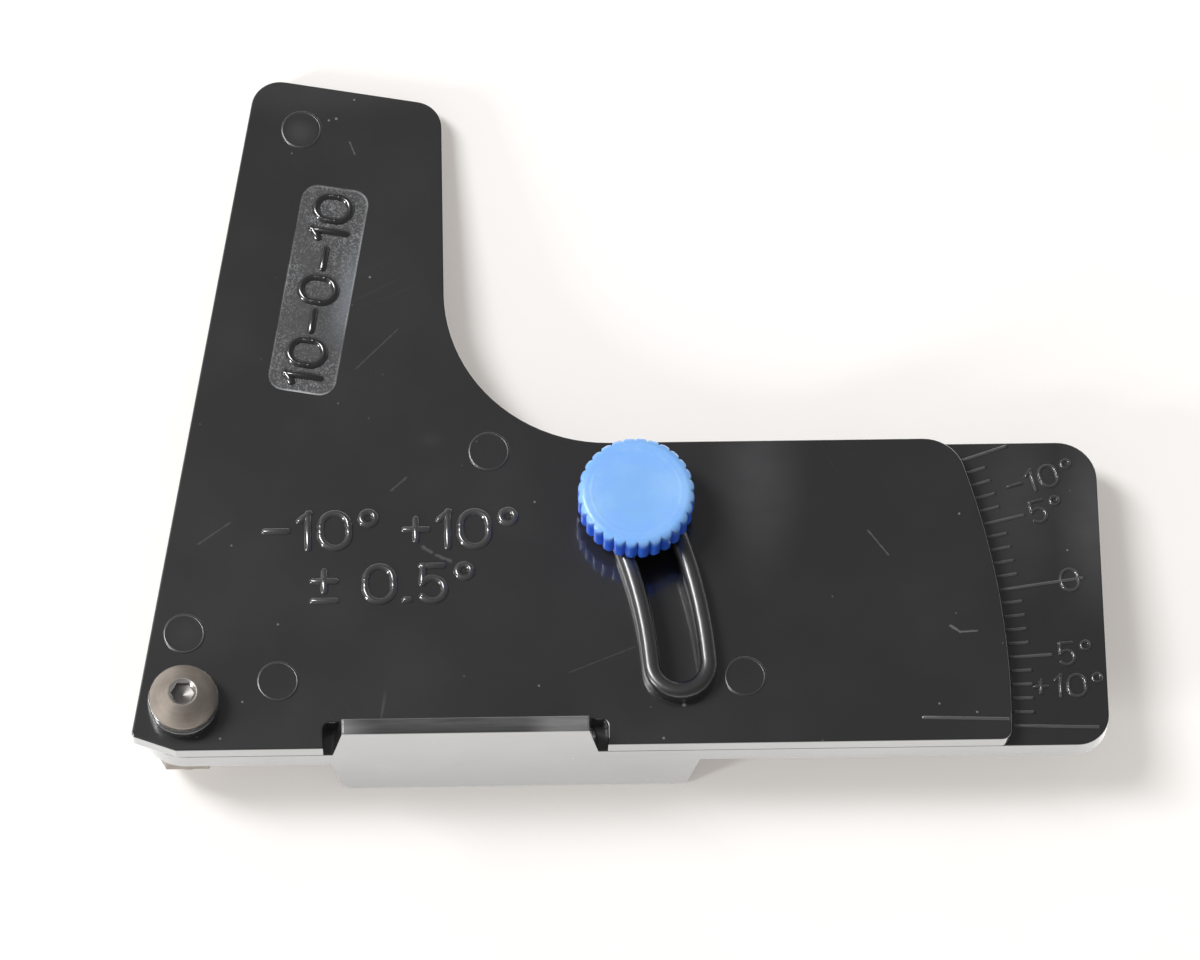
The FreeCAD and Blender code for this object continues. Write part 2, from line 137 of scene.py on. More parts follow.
def startMaterial(name):
    material = bpy.data.materials.new(name)
    material.use_nodes = True
    tree = material.node_tree
    return material, tree, tree.nodes["Principled BSDF"]


def dress(tree, shader, colour, roughness, height, depth, normal=None, strength=1.0):
    # Links a finish to its shader. depth is what one unit of height stands for, in metres.
    sockets = {"Strength": strength, "Distance": depth, "Height": height}
    if normal is not None:
        sockets["Normal"] = normal
    bump = addNode(tree, "ShaderNodeBump", sockets).outputs[0]
    for name, value in (("Base Color", colour), ("Roughness", roughness), ("Normal", bump)):
        tree.links.new(value, shader.inputs[name])


def ownSpot(tree, centre, degrees=0.0):
    # Millimetres in the plates' frame, seen from a centre in metres and turned about the plates' normal.
    turned = plateTurn @ Matrix.Rotation(math.radians(degrees), 3, "Z")
    objectSpot = addNode(tree, "ShaderNodeTexCoord").outputs["Object"]
    sockets = {"Vector": objectSpot, "Location": centre, "Rotation": turned.to_euler(),
               "Scale": (mm, mm, mm)}
    return addNode(tree, "ShaderNodeMapping", sockets, vector_type="TEXTURE").outputs[0]


# Each set of scratches has a heading in degrees, a length and a share of the face that it leaves bare.
skinLook = {
    "haze": (0.06, 4.0, 0.55), "hazeRange": (0.38, 0.72), "peel": (0.9, 1.0), "speckScale": 0.55,
    "speckSizes": (0.02, 0.1), "scratches": ((24.0, 3.3, 0.62), (-58.0, 2.4, 0.64), (81.0, 2.8, 0.66)),
    "scratchStretch": 60.0, "scratchDepth": 10.0, "scratchField": (1.0, 1.0, 0.3), "hairline": 0.003,
    "patchScale": 0.2, "patchEdge": 0.08, "scratchRelief": 0.6,
}


def makeSkin():
    # Moulded plastic seen close: slow haze, dust specks, hairline scratches and a faint orange peel.
    look = skinLook
    group, given, result = startGroup("mouldedSkin", {"Spot": None, "Dust": 0.5, "Wear": 0.5},
                                      ("Haze", "Speck", "Scratch", "Height"))
    spot = given["Spot"]
    haze = remap(group, noise(group, spot, *look["haze"]), *look["hazeRange"], smooth=True)
    peel = noise(group, spot, *look["peel"])
    cells = addNode(group, "ShaderNodeTexVoronoi", {"Vector": spot, "Scale": look["speckScale"]})
    chance = addNode(group, "ShaderNodeSeparateColor", {0: cells.outputs["Color"]}).outputs
    kept = combine(group, "LESS_THAN", chance[0], given["Dust"])
    size = remap(group, chance[1], 0, 1, *look["speckSizes"])
    far = combine(group, "DIVIDE", cells.outputs["Distance"], size)
    grain = combine(group, "SUBTRACT", 1.0, far, clamp=True)
    lines = []
    for degrees, length, bare in look["scratches"]:
        sockets = {"Vector": spot, "Rotation": (0, 0, math.radians(degrees)),
                   "Scale": (look["scratchStretch"], length, look["scratchDepth"])}
        turned = addNode(group, "ShaderNodeMapping", sockets, vector_type="TEXTURE").outputs[0]
        field = noise(group, turned, *look["scratchField"])
        away = combine(group, "ABSOLUTE", combine(group, "SUBTRACT", field, 0.5))
        line = remap(group, away, 0.0, look["hairline"], 1.0, 0.0)
        patch = noise(group, spot, look["patchScale"] / length)
        here = remap(group, patch, bare, bare + look["patchEdge"])
        lines.append(combine(group, "MULTIPLY", line, here))
    scratches = combine(group, "MULTIPLY", combine(group, "MAXIMUM", *lines), given["Wear"])
    relief = combine(group, "MULTIPLY", scratches, look["scratchRelief"])
    giveOut(group, result, Haze=haze, Speck=combine(group, "MULTIPLY", grain, kept), Scratch=scratches,
            Height=combine(group, "SUBTRACT", peel, relief))
    return group


scuffLook = {"ragged": (1.7,), "raggedRange": (0.3, 0.7, 0.35, 1.0)}


def makeScuff():
    # One straight mark on a plate, from one place to another, broken up along its length.
    group, given, result = startGroup("scuff", {"Spot": None, "From": None, "To": None, "Width": 0.1},
                                      ("Mask",))
    flat = combineVectors(group, "MULTIPLY", given["Spot"], (1, 1, 0))
    away = combineVectors(group, "SUBTRACT", flat, given["From"])
    along = combineVectors(group, "SUBTRACT", given["To"], given["From"])
    reach = combineVectors(group, "DOT_PRODUCT", away, along)
    size = combineVectors(group, "DOT_PRODUCT", along, along)
    share = combine(group, "DIVIDE", reach, size, clamp=True)
    nearest = addNode(group, "ShaderNodeVectorMath", {0: along, "Scale": share}, operation="SCALE")
    gap = combineVectors(group, "DISTANCE", away, nearest.outputs[0])
    ragged = remap(group, noise(group, given["Spot"], *scuffLook["ragged"]), *scuffLook["raggedRange"])
    width = combine(group, "MULTIPLY", given["Width"], ragged)
    far = combine(group, "DIVIDE", gap, width, clamp=True)
    giveOut(group, result, Mask=combine(group, "SUBTRACT", 1.0, far))
    return group


dotLook = {"core": 0.4}


def makeDot():
    # A round speck on a plate, solid over its core.
    group, given, result = startGroup("dot", {"Spot": None, "Centre": None, "Size": 0.1}, ("Mask",))
    gap = combineVectors(group, "DISTANCE", given["Spot"], given["Centre"])
    far = combine(group, "DIVIDE", gap, given["Size"], clamp=True)
    giveOut(group, result, Mask=remap(group, far, dotLook["core"], 1.0, 1.0, 0.0))
    return group


softPatchLook = {"cloud": (0.35, 3.0, 0.6), "cloudRange": (0.25, 0.75, 0.7, 1.0)}


def makeSoftPatch():
    # A soft cloudy patch about a centre, as wide and as high as its size.
    group, given, result = startGroup("softPatch", {"Spot": None, "Centre": None, "Size": None}, ("Mask",))
    away = combineVectors(group, "SUBTRACT", given["Spot"], given["Centre"])
    reach = combineVectors(group, "LENGTH", combineVectors(group, "DIVIDE", away, given["Size"]))
    cloud = remap(group, noise(group, given["Spot"], *softPatchLook["cloud"]), *softPatchLook["cloudRange"])
    patch = remap(group, reach, 1.0, 0.0, smooth=True)
    giveOut(group, result, Mask=combine(group, "MULTIPLY", patch, cloud))
    return group


# The normal turns away from the flat at an edge, and how well the two still match gives the mask.
rubLook = {"samples": 6, "patch": (0.8, 3.0), "patchRange": (0.45, 0.7), "matchRange": (0.97, 0.8)}


def makeRub():
    # Edges found by rounding the normal: a rubbed mask, and the rounded normal itself.
    group, given, result = startGroup("rubbedEdge", {"Spot": None, "Radius": 0.0001}, ("Mask", "Normal"))
    rounded = addNode(group, "ShaderNodeBevel", {"Radius": given["Radius"]},
                      samples=rubLook["samples"]).outputs[0]
    straight = addNode(group, "ShaderNodeNewGeometry").outputs["Normal"]
    match = combineVectors(group, "DOT_PRODUCT", rounded, straight)
    patchy = remap(group, noise(group, given["Spot"], *rubLook["patch"]), *rubLook["patchRange"])
    mask = combine(group, "MULTIPLY", remap(group, match, *rubLook["matchRange"]), patchy)
    giveOut(group, result, Mask=mask, Normal=rounded)
    return group


turnedLook = {"ringDetail": 2.0, "stain": (0.35, 3.0)}


def makeTurned():
    # Lathe rings about the Z axis of the given place, with a slow stain.
    group, given, result = startGroup("turnedRings", {"Spot": None, "Fineness": 9.0}, ("Ring", "Stain"))
    parts = axes(group, given["Spot"])
    path = combine(group, "ADD", fromAxis(group, parts), parts[2])
    path = combine(group, "MULTIPLY", path, given["Fineness"])
    ring = addNode(group, "ShaderNodeTexNoise",
                   {"W": path, "Scale": 1.0, "Detail": turnedLook["ringDetail"]},
                   noise_dimensions="1D").outputs["Fac"]
    giveOut(group, result, Ring=ring, Stain=noise(group, given["Spot"], *turnedLook["stain"]))
    return group


skin = makeSkin()
scuff = makeScuff()
dot = makeDot()
softPatch = makeSoftPatch()
rubbedEdge = makeRub()
turnedRings = makeTurned()
print("shader groups built")

# Finishes

blackSkin = {
    "deep": (0.0120, 0.0114, 0.0120, 1),
    "hazy": (0.0140, 0.0134, 0.0143, 1),
    "rubbed": (0.055, 0.055, 0.057, 1),
    "dust": (0.20, 0.20, 0.19, 1),
    "mark": (0.13, 0.132, 0.14, 1),
    "smooth": 0.34,
    "rough": 0.40,
    "peelDepth": 0.000004,
    "edgeRadius": 0.00012,
    "coatIor": 1.8,
    "coatRoughness": 0.08,
    "raisedRoughness": 0.08,
    "raisedRadius": 0.00012,
}
armSkin = {**blackSkin, "raisedRoughness": 0.28, "raisedRadius": 0.001}
figureSkin = {**blackSkin, "deep": (0.036, 0.035, 0.037, 1), "hazy": (0.054, 0.053, 0.055, 1)}
tickSkin = {**blackSkin, "deep": (0.088, 0.086, 0.085, 1), "hazy": (0.13, 0.128, 0.126, 1),
            "coatRoughness": 0.2}
numberSkin = {**blackSkin, "deep": (0.008, 0.0077, 0.008, 1), "hazy": (0.011, 0.0106, 0.011, 1)}
burrSkin = {**blackSkin, "coatRoughness": 0.36}

# What every black moulding shares. The slot's rim is what rises above the face beyond the pivot's boss.
mouldingLook = {"raised": (2.5, 2.9), "beyondBoss": (8.0, 10.0), "dust": 0.12, "wear": 0.3,
                "markRoughness": 0.25, "frostRoughness": 0.5, "frostCoat": 0.15}


def blackMoulding(name, settings, marks=(), softPatches=(), dots=(), panel=None, lip=None):
    # marks: (from, to, width, strength), softPatches: (centre, size, strength) and dots: (centre, size),
    # all in the plates' millimetres; panel: a frosted field on the face, with painted glints and
    # highlights; lip: the land above everything else, with a painted reflection.
    look = mouldingLook
    material, tree, shader = startMaterial(name)
    spot = ownSpot(tree, pivotSpot)
    parts = axes(tree, spot)
    raised = remap(tree, parts[2], *look["raised"])
    surface = useGroup(tree, skin, {"Spot": spot, "Dust": look["dust"], "Wear": look["wear"]})
    rounding = remap(tree, raised, 0, 1, settings["edgeRadius"], settings["raisedRadius"])
    edge = useGroup(tree, rubbedEdge, {"Spot": spot, "Radius": rounding})
    colour = blend(tree, surface["Haze"], settings["deep"], settings["hazy"])
    colour = blend(tree, edge["Mask"], colour, settings["rubbed"])
    worn = [surface["Scratch"]]
    for start, end, width, strength in marks:
        mask = useGroup(tree, scuff, {"Spot": spot, "From": (*start, 0), "To": (*end, 0), "Width": width})
        worn.append(combine(tree, "MULTIPLY", mask["Mask"], strength))
    # Soft patches lighten the colour and roughen it: smudges and lighter areas on the arm, and a painted
    # sheen on the base.
    for centre, size, strength in softPatches:
        mask = useGroup(tree, softPatch, {"Spot": spot, "Centre": centre, "Size": size})
        worn.append(combine(tree, "MULTIPLY", mask["Mask"], strength))
    marksAndSheen = combine(tree, "MAXIMUM", *worn)
    colour = blend(tree, marksAndSheen, colour, settings["mark"])
    specks = [useGroup(tree, dot, {"Spot": spot, "Centre": centre, "Size": size})["Mask"]
              for centre, size in dots]
    colour = blend(tree, combine(tree, "MAXIMUM", surface["Speck"], *specks), colour, settings["dust"])
    roughness = remap(tree, surface["Haze"], 0, 1, settings["smooth"], settings["rough"])
    roughness = combine(tree, "ADD", roughness, combine(tree, "MULTIPLY", marksAndSheen, look["markRoughness"]))
    relief = surface["Height"]
    shader.inputs["Coat Weight"].default_value = 1.0
    shader.inputs["Coat IOR"].default_value = settings["coatIor"]
    if panel:
        # The frosted panel brings grit and roughness, and a colour of painted glints, a painted sheen and a
        # painted highlight along its border.
        field, paintedSparkle, grit = frostedField(tree, panel)
        colour = blend(tree, field, colour, paintedSparkle)
        roughness = remap(tree, field, 0, 1, roughness, look["frostRoughness"])
        relief = combine(tree, "ADD", relief, combine(tree, "MULTIPLY", grit, field))
        tree.links.new(remap(tree, field, 0, 1, 1.0, look["frostCoat"]), shader.inputs["Coat Weight"])
    if lip:
        # The lip's land gets a painted reflection in its colour.
        land, lipSheenColour = paintLipSheen(tree, spot, lip)
        colour = blend(tree, land, colour, lipSheenColour)
    dress(tree, shader, colour, roughness, relief, settings["peelDepth"], edge["Normal"])
    shader.inputs["Coat Roughness"].default_value = settings["coatRoughness"]
    if settings["raisedRoughness"] != settings["coatRoughness"]:
        rim = combine(tree, "MULTIPLY", raised, remap(tree, parts[0], *look["beyondBoss"]))
        coat = remap(tree, rim, 0, 1, settings["coatRoughness"], settings["raisedRoughness"])
        tree.links.new(coat, shader.inputs["Coat Roughness"])
    return material


# land is by height, inner across the lip, and leftEnd and rightEnd along it.
# The pale and rubbed colours are a painted reflection on the land.
lipSheenLook = {
    "land": (7.2, 7.3), "stretch": (0.2, 2.2, 1), "streak": (0.6, 3.0), "streakRange": (0.3, 0.7),
    "inner": (-5.6, -3.7, 0.1, 1.0), "leftEnd": (23.3, 17.3), "rightEnd": (39.5, 43.5, 0.0, 0.45),
    "endRange": (0.0, 1.0, 0.7, 1.0), "dark": (0.030, 0.029, 0.030, 1), "pale": (0.108, 0.108, 0.106, 1),
    "rubbed": (0.33, 0.33, 0.33, 1),
}


def paintLipSheen(tree, spot, lip):
    # The land on top of the foot's lip, streaked along its length, with a painted reflection that is palest
    # along its inner edge and at its ends.
    parts = axes(tree, spot)
    drawn = addNode(tree, "ShaderNodeMapping", {"Vector": spot, "Scale": lip["stretch"]}).outputs[0]
    streak = remap(tree, noise(tree, drawn, *lip["streak"]), *lip["streakRange"])
    pale = combine(tree, "MULTIPLY", streak, remap(tree, parts[1], *lip["inner"]))
    colour = blend(tree, pale, lip["dark"], lip["pale"])
    left = remap(tree, parts[0], *lip["leftEnd"])
    left = combine(tree, "MULTIPLY", left, left)
    right = remap(tree, parts[0], *lip["rightEnd"], smooth=True)
    ends = combine(tree, "MULTIPLY", combine(tree, "MAXIMUM", left, right),
                   remap(tree, streak, *lip["endRange"]))
    return remap(tree, parts[2], *lip["land"]), blend(tree, ends, colour, lip["rubbed"])


# border counts inwards from the corners' outer radius, and lowerEnd and sheenReach run along the panel.
labelPanel = {
    "centre": (16.0, 52.6), "degrees": 80.0, "length": 27.0, "width": 8.2, "corner": 2.0, "above": 1.0,
    "softEdge": 0.05, "border": (0.3, 0.1), "grainScale": 6.5, "glint": (0.5, 1.0), "veil": (0.2, 3.0),
    "veilRange": (0.3, 0.7), "sheenSide": (-1.2, -3.69), "sheenReach": (9.0, 0.0), "sheenShare": 0.6,
    "lowerEnd": (-12.7, -13.1, 0.3, 1.0), "grit": (5.0, 3.0, 0.7), "gritRelief": 2.2,
    # dull and bright are the painted glints of the grains, sheen a painted sheen and rubbed a painted
    # highlight along the border.
    "dull": (0.056, 0.056, 0.058, 1), "bright": (0.22, 0.225, 0.235, 1), "sheen": (0.19, 0.21, 0.235, 1),
    "rubbed": (0.55, 0.56, 0.58, 1),
}


def frostedField(tree, panel):
    # A rounded rectangle on the face, spark-eroded in the mould so that it comes out frosted; its sparkle
    # is painted as glints in the colour.
    spot = ownSpot(tree, plateSpace @ Vector((*panel["centre"], 0)), panel["degrees"])
    parts = axes(tree, spot)
    corner = panel["corner"]
    squares = []
    for axis, half in ((0, panel["length"] / 2), (1, panel["width"] / 2)):
        reach = combine(tree, "SUBTRACT", combine(tree, "ABSOLUTE", parts[axis]), half - corner)
        beyond = combine(tree, "MAXIMUM", reach, 0.0)
        squares.append(combine(tree, "MULTIPLY", beyond, beyond))
    gap = combine(tree, "SQRT", combine(tree, "ADD", *squares))
    inside = remap(tree, gap, corner - panel["softEdge"], corner + panel["softEdge"], 1.0, 0.0)
    border = remap(tree, gap, *[corner - inset for inset in panel["border"]])
    front = combine(tree, "GREATER_THAN", parts[2], panel["above"])
    grains = addNode(tree, "ShaderNodeTexVoronoi", {"Vector": spot, "Scale": panel["grainScale"]})
    chance = addNode(tree, "ShaderNodeSeparateColor", {0: grains.outputs["Color"]}).outputs[0]
    glint = remap(tree, chance, *panel["glint"], smooth=True)
    veil = remap(tree, noise(tree, spot, *panel["veil"]), *panel["veilRange"])
    paintedSparkle = blend(tree, combine(tree, "MULTIPLY", glint, veil), panel["dull"], panel["bright"])
    # A painted pale sheen down one side, and a painted highlight along the border that is brightest across
    # the lower end.
    side = remap(tree, parts[1], *panel["sheenSide"], smooth=True)
    middle = remap(tree, combine(tree, "ABSOLUTE", parts[0]), *panel["sheenReach"], smooth=True)
    sheen = combine(tree, "MULTIPLY", side, middle, panel["sheenShare"])
    paintedSparkle = blend(tree, sheen, paintedSparkle, panel["sheen"])
    rubbed = combine(tree, "MULTIPLY", border, remap(tree, parts[0], *panel["lowerEnd"]), veil)
    paintedSparkle = blend(tree, rubbed, paintedSparkle, panel["rubbed"])
    grit = combine(tree, "MULTIPLY", noise(tree, spot, *panel["grit"]), panel["gritRelief"])
    return combine(tree, "MULTIPLY", inside, front), paintedSparkle, grit


armMarks = [
    ((28.2, 19.4), (29.2, 18.7), 0.42, 0.5), ((29.8, 18.3), (31.4, 17.6), 0.42, 0.5),
    ((90.3, 8.6), (91.4, 7.8), 0.3, 1.0), ((91.4, 7.8), (93.4, 7.9), 0.26, 0.9),
    ((45.2, 3.4), (53.0, 6.5), 0.16, 0.22), ((81.0, 20.7), (83.3, 17.6), 0.2, 0.6),
    ((24.5, 26.6), (26.3, 28.2), 0.28, 0.35), ((20.4, 42.2), (25.5, 47.3), 0.18, 0.3),
    ((19.9, 71.9), (20.5, 70.3), 0.2, 0.7), ((1.6, 20.1), (5.4, 22.8), 0.18, 0.35),
]
armDots = [((*place, 2.45), size) for place, size in (
    ((58.6, -0.8), 0.3), ((56.1, -4.9), 0.2), ((41.6, 1.8), 0.17), ((11.0, 9.9), 0.17),
    ((41.5, 24.9), 0.17), ((1.4, -3.8), 0.27), ((4.2, -4.2), 0.18), ((6.8, 0.3), 0.17),
    ((20.5, 77.5), 0.17), ((18.3, 75.0), 0.22), ((17.4, 74.8), 0.18), ((22.2, 54.1), 0.18),
    ((91.9, 22.7), 0.18), ((88.6, -1.1), 0.17), ((93.0, -2.2), 0.18))]
baseDots = [((104.8, 18.8, 0.0), 0.16)]
# Lighter soft patches on the arm: smudges, and lighter areas right of the knob and along the top edge.
armPatches = [((36.2, 11.5, 2.45), (8.0, 5.0, 2.0), 0.03), ((29.4, 33.0, 2.45), (2.0, 1.4, 2.0), 0.07),
             ((13.9, 73.2, 2.53), (2.5, 2.4, 0.1), 0.2), ((0.2, 8.9, 2.53), (2.4, 2.4, 0.1), 0.07),
             ((67.9, 28.0, 2.45), (7.0, 16.0, 2.0), 0.26), ((17.0, 79.0, 2.45), (22.0, 5.0, 2.0), 0.14)]
# A painted sheen over the right of the base plate.
basePaintedSheen = [((109.5, 23.5, 0.0), (8.5, 16.0, 2.0), 0.36), ((99.0, 25.5, 0.0), (7.5, 17.0, 2.0), 0.18)]

metals = {
    "satinSteel": {"light": (0.34, 0.300, 0.262, 1), "dark": (0.275, 0.242, 0.21, 1),
                   "rubbed": (0.50, 0.48, 0.46, 1), "smooth": 0.6, "rough": 0.68, "fineness": 9.0,
                   "edge": 0.00012, "metallic": 0.85},
    "brightSteel": {"light": (0.60, 0.585, 0.57, 1), "dark": (0.50, 0.48, 0.46, 1),
                    "rubbed": (0.66, 0.65, 0.64, 1), "smooth": 0.12, "rough": 0.2, "fineness": 6.0,
                    "edge": 0.00005, "metallic": 1.0},
    "brass": {"light": (0.78, 0.60, 0.28, 1), "dark": (0.56, 0.40, 0.17, 1),
              "rubbed": (0.86, 0.70, 0.38, 1), "smooth": 0.25, "rough": 0.4, "fineness": 7.0,
              "edge": 0.00008, "metallic": 1.0},
}
metalLook = {"ringShare": 0.2, "stainShare": 0.8, "colourRange": (0.38, 0.62), "roughRange": (0.35, 0.65),
             "edgeRoughness": 0.6, "ringStrength": 0.4, "ringDepth": 0.000003}
# The pivot screw's socket, polished by keys round its mouth, with a painted highlight on its walls near the
# mouth and painted shade further down.
pivotSocket = {"wall": (1.7, 1.5), "depth": (6.9, 6.4), "mouth": 0.17, "floor": 0.42,
               "bright": (0.66, 0.64, 0.61, 1), "paintedShade": (0.22, 0.21, 0.20, 1)}


def turnedMetal(name, centre, settings, socket=None):
    look = metalLook
    material, tree, shader = startMaterial(name)
    spot = ownSpot(tree, centre)
    rings = useGroup(tree, turnedRings, {"Spot": spot, "Fineness": settings["fineness"]})
    edge = useGroup(tree, rubbedEdge, {"Spot": spot, "Radius": settings["edge"]})
    stain = combine(tree, "ADD", combine(tree, "MULTIPLY", rings["Ring"], look["ringShare"]),
                    combine(tree, "MULTIPLY", rings["Stain"], look["stainShare"]))
    colour = blend(tree, remap(tree, stain, *look["colourRange"]), settings["dark"], settings["light"])
    colour = blend(tree, edge["Mask"], colour, settings["rubbed"])
    roughness = remap(tree, stain, *look["roughRange"], settings["rough"], settings["smooth"])
    polish = remap(tree, edge["Mask"], 0, 1, 1.0, look["edgeRoughness"])
    roughness = combine(tree, "MULTIPLY", roughness, polish)
    if socket:
        # Inside the socket the colour goes from a painted highlight near the mouth to painted shade towards
        # the floor, and the mouth is smoother.
        parts = axes(tree, spot)
        inside = remap(tree, fromAxis(tree, parts), *socket["wall"])
        deep = remap(tree, parts[2], *socket["depth"])
        colour = blend(tree, inside, colour, blend(tree, deep, socket["bright"], socket["paintedShade"]))
        worked = remap(tree, deep, 0, 1, socket["mouth"], socket["floor"])
        roughness = remap(tree, inside, 0, 1, roughness, worked)
    dress(tree, shader, colour, roughness, rings["Ring"], look["ringDepth"], edge["Normal"],
          look["ringStrength"])
    shader.inputs["Metallic"].default_value = settings["metallic"]
    return material


# matt is by height and sets where the top's rougher finish and its painted paler colour take over. dish is
# the radius of the ring round the top's dish, and brink runs outwards from there to the rounded edge.
blueSkin = {
    "side": (0.035, 0.17, 1.0, 1), "sideHazy": (0.05, 0.20, 1.0, 1), "sideRoughness": 0.13,
    "top": (0.225, 0.475, 0.95, 1), "topHazy": (0.29, 0.54, 0.96, 1), "worn": (0.42, 0.66, 0.96, 1),
    "matt": (7.5, 9.5), "brink": (5.7, 6.4, 0.46, 0.17), "cloud": (0.14, 4.0, 0.6),
    "cloudRange": (0.35, 0.65), "dust": 0.1, "wear": 1.0, "edgeRadius": 0.0005, "edgeShare": 0.6,
    "dish": 5.3, "dishRing": 0.35, "ringShare": 0.3, "dishRelief": 1.5, "grain": (6.0,),
    "grainDepth": 0.00001, "subsurface": 0.35, "subsurfaceRadius": (0.15, 0.35, 1.0),
    "subsurfaceScale": 0.0015,
}


def blueMoulding(name):
    # The knob's top is rougher than its flutes and painted paler, a painted sheen of the light falling on
    # it; the flutes are deepest blue.
    look = blueSkin
    material, tree, shader = startMaterial(name)
    spot = ownSpot(tree, clampSpot)
    surface = useGroup(tree, skin, {"Spot": spot, "Dust": look["dust"], "Wear": look["wear"]})
    edge = useGroup(tree, rubbedEdge, {"Spot": spot, "Radius": look["edgeRadius"]})
    height = axes(tree, ownSpot(tree, pivotSpot))[2]
    matt = remap(tree, height, *look["matt"], smooth=True)
    cloud = remap(tree, noise(tree, spot, *look["cloud"]), *look["cloudRange"], smooth=True)
    side = blend(tree, cloud, look["side"], look["sideHazy"])
    top = blend(tree, cloud, look["top"], look["topHazy"])
    # A shallow dish in the top, with a paler ring round it.
    reach = fromAxis(tree, axes(tree, spot))
    away = combine(tree, "ABSOLUTE", combine(tree, "SUBTRACT", reach, look["dish"]))
    ring = remap(tree, away, look["dishRing"], 0.0, smooth=True)
    worn = combine(tree, "MAXIMUM", surface["Speck"], surface["Scratch"],
                   combine(tree, "MULTIPLY", ring, cloud, look["ringShare"]),
                   combine(tree, "MULTIPLY", edge["Mask"], look["edgeShare"]))
    # The top's paler colour is painted light.
    colour = blend(tree, combine(tree, "MULTIPLY", worn, matt), blend(tree, matt, side, top), look["worn"])
    glossy = remap(tree, reach, *look["brink"], smooth=True)
    roughness = remap(tree, matt, 0, 1, look["sideRoughness"], glossy)
    grain = combine(tree, "ADD", surface["Height"], noise(tree, spot, *look["grain"]),
                    combine(tree, "MULTIPLY", ring, look["dishRelief"]))
    dress(tree, shader, colour, roughness, grain, look["grainDepth"], edge["Normal"])
    shader.inputs["Subsurface Weight"].default_value = look["subsurface"]
    shader.inputs["Subsurface Radius"].default_value = look["subsurfaceRadius"]
    shader.inputs["Subsurface Scale"].default_value = look["subsurfaceScale"]
    return material


whiteSkin = {"deep": (0.62, 0.61, 0.55, 1), "hazy": (0.74, 0.73, 0.68, 1), "dust": 0.5, "wear": 0.5,
             "smooth": 0.45, "rough": 0.6, "peelDepth": 0.00001}


def nylonRing(name):
    look = whiteSkin
    material, tree, shader = startMaterial(name)
    surface = useGroup(tree, skin, {"Spot": ownSpot(tree, pivotSpot), "Dust": look["dust"],
                                    "Wear": look["wear"]})
    colour = blend(tree, surface["Haze"], look["deep"], look["hazy"])
    roughness = remap(tree, surface["Haze"], 0, 1, look["smooth"], look["rough"])
    dress(tree, shader, colour, roughness, surface["Height"], look["peelDepth"])
    return material


basePlastic = blackMoulding("basePlastic", blackSkin, softPatches=basePaintedSheen, dots=baseDots, lip=lipSheenLook)
armPlastic = blackMoulding("armPlastic", armSkin, marks=armMarks, softPatches=armPatches, dots=armDots,
                           panel=labelPanel)
figurePlastic = blackMoulding("figurePlastic", figureSkin)
tickPlastic = blackMoulding("tickPlastic", tickSkin)
numberPlastic = blackMoulding("numberPlastic", numberSkin)
burrPlastic = blackMoulding("burrPlastic", burrSkin)
pivotSteel = turnedMetal("pivotSteel", pivotSpot, metals["satinSteel"], pivotSocket)
washerSteel = turnedMetal("washerSteel", pivotSpot, metals["brightSteel"])
clampSteel = turnedMetal("clampSteel", clampSpot, metals["satinSteel"])
insertBrass = turnedMetal("insertBrass", clampSpot, metals["brass"])
knobPlastic = blueMoulding("knobPlastic")
ringNylon = nylonRing("ringNylon")

finishes = {
    "base_plate": basePlastic, "swing_arm": armPlastic, "pivot_screw": pivotSteel,
    "pivot_washer": washerSteel, "pivot_back_washer": washerSteel, "pivot_nut": pivotSteel,
    "nut_ring": ringNylon, "clamp_screw": clampSteel, "clamp_washer": clampSteel,
    "clamp_knob": knobPlastic, "knob_insert": insertBrass,
}
for name, finish in finishes.items():
    nodes[name].data.materials[0] = finish
print("finishes on", len(finishes), "nodes")

# Raised figures and marks: round beads laid over the plates

beadSize = {"armRadius": 0.48, "armSink": 0.14, "scaleWidth": 0.43, "sides": 14, "caps": 7,
            "stepLength": 0.25, "leastSteps": 12}


def orderFaces(mesh):
    # Spun shapes come with their faces in another order each time, so they are put in one fixed order.
    mesh.verts.index_update()
    ordered = sorted(mesh.faces, key=lambda face: sorted(vertex.index for vertex in face.verts))
    for number, face in enumerate(ordered):
        face.index = number
    mesh.faces.sort()


def layPiece(name, mesh, finish, body, smooth=True):
    # mesh is in the plates' millimetres.
    bmesh.ops.transform(mesh, matrix=plateSpace, verts=mesh.verts)
    bmesh.ops.recalc_face_normals(mesh, faces=mesh.faces)
    orderFaces(mesh)
    data = bpy.data.meshes.new(name)
    mesh.to_mesh(data)
    mesh.free()
    for polygon in data.polygons:
        polygon.use_smooth = smooth
    piece = bpy.data.objects.new(name, data)
    bpy.context.scene.collection.objects.link(piece)
    data.materials.append(finish)
    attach(piece, body)


def addBall(mesh, radius, place=Matrix()):
    return bmesh.ops.create_uvsphere(mesh, u_segments=beadSize["sides"], v_segments=beadSize["caps"],
                                     radius=radius, matrix=place)["verts"]


def addBead(mesh, start, end, radius):
    # A straight bead with round ends: a ball whose far half is drawn out to the other end.
    along = end - start
    ball = addBall(mesh, radius)
    for vertex in ball:
        if vertex.co.z > 0:
            vertex.co.z += along.length
    turn = along.to_track_quat("Z", "Y").to_matrix().to_4x4()
    bmesh.ops.transform(mesh, matrix=Matrix.Translation(start) @ turn, verts=ball)


